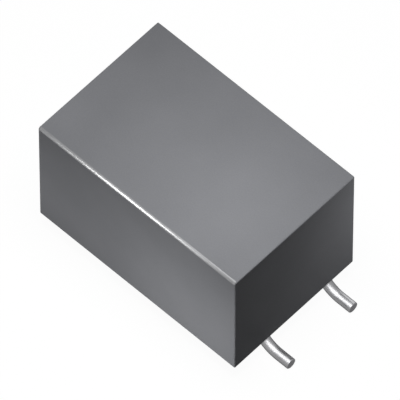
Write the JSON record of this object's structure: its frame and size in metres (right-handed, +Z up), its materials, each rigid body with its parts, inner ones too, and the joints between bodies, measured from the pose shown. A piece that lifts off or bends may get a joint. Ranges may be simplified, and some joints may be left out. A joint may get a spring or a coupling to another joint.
{
  "type": "surface-mount common mode choke",
  "caption": "Moulded dark grey block, longer than wide, on round tinned wire leads that bend out from under its ends to lie flat; toroid and windings inside.",
  "frame": {"origin": "on the board plane, under the middle of the block and of the four feet", "axes": "+Z up from the board, +X along the block towards leads 1 and 2, +Y towards lead 2's side"},
  "size_m": [0.016, 0.0084, 0.0087],
  "materials": {
    "moulding_compound": "satin",
    "ferrite": "epoxy coated, satin",
    "enamelled_copper": "gloss",
    "tinned_wire": "bright",
    "solder": "satin",
    "divider_plastic": "matte"
  },
  "bodies": {
    "root": {"moulded_body": "moulding_compound", "toroid_core": "ferrite", "winding_a": "enamelled_copper", "winding_b": "enamelled_copper", "winding_divider": "divider_plastic", "lead_1": "tinned_wire", "lead_2": "tinned_wire", "lead_3": "tinned_wire", "lead_4": "tinned_wire", "solder_joint_1": "solder", "solder_joint_2": "solder", "solder_joint_3": "solder", "solder_joint_4": "solder"}
  },
  "joints": []
}
